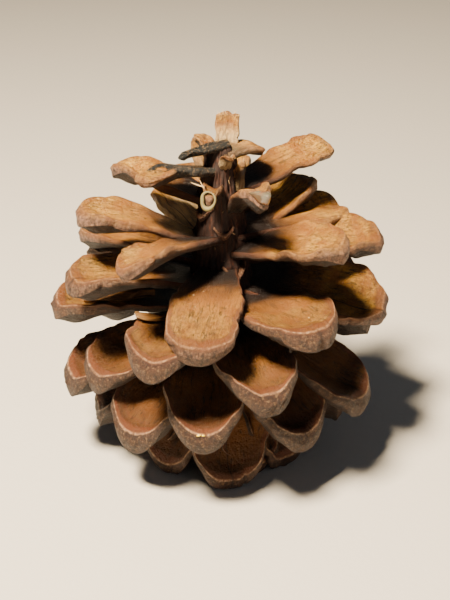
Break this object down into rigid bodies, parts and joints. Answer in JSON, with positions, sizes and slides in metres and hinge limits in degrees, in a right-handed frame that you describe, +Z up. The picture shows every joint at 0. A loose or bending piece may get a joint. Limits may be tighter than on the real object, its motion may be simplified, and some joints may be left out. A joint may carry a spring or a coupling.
{
  "type": "pine cone",
  "caption": "Open woody pine cone standing upright, its thick-ended scales set on a spiral round the stem, with winged seeds still lying on the scales",
  "frame": {"origin": "on the surface that the cone rests on, under the middle of its outline", "axes": "+Z up the stem from the stem end to the tip; -Y is the side that the picture shows; +X is to its right"},
  "size_m": [0.055, 0.052, 0.0571],
  "materials": {
    "dry_cone_scale": "satin upper faces, rough ends and undersides",
    "papery_seed_wing": "papery, finely veined",
    "dry_resin": "glossy, cloudy"
  },
  "bodies": {
    "root": {"cone": "dry_cone_scale", "winged_seed_left": "papery_seed_wing", "winged_seed_low": "papery_seed_wing", "resin_drop": "dry_resin"}
  },
  "joints": []
}
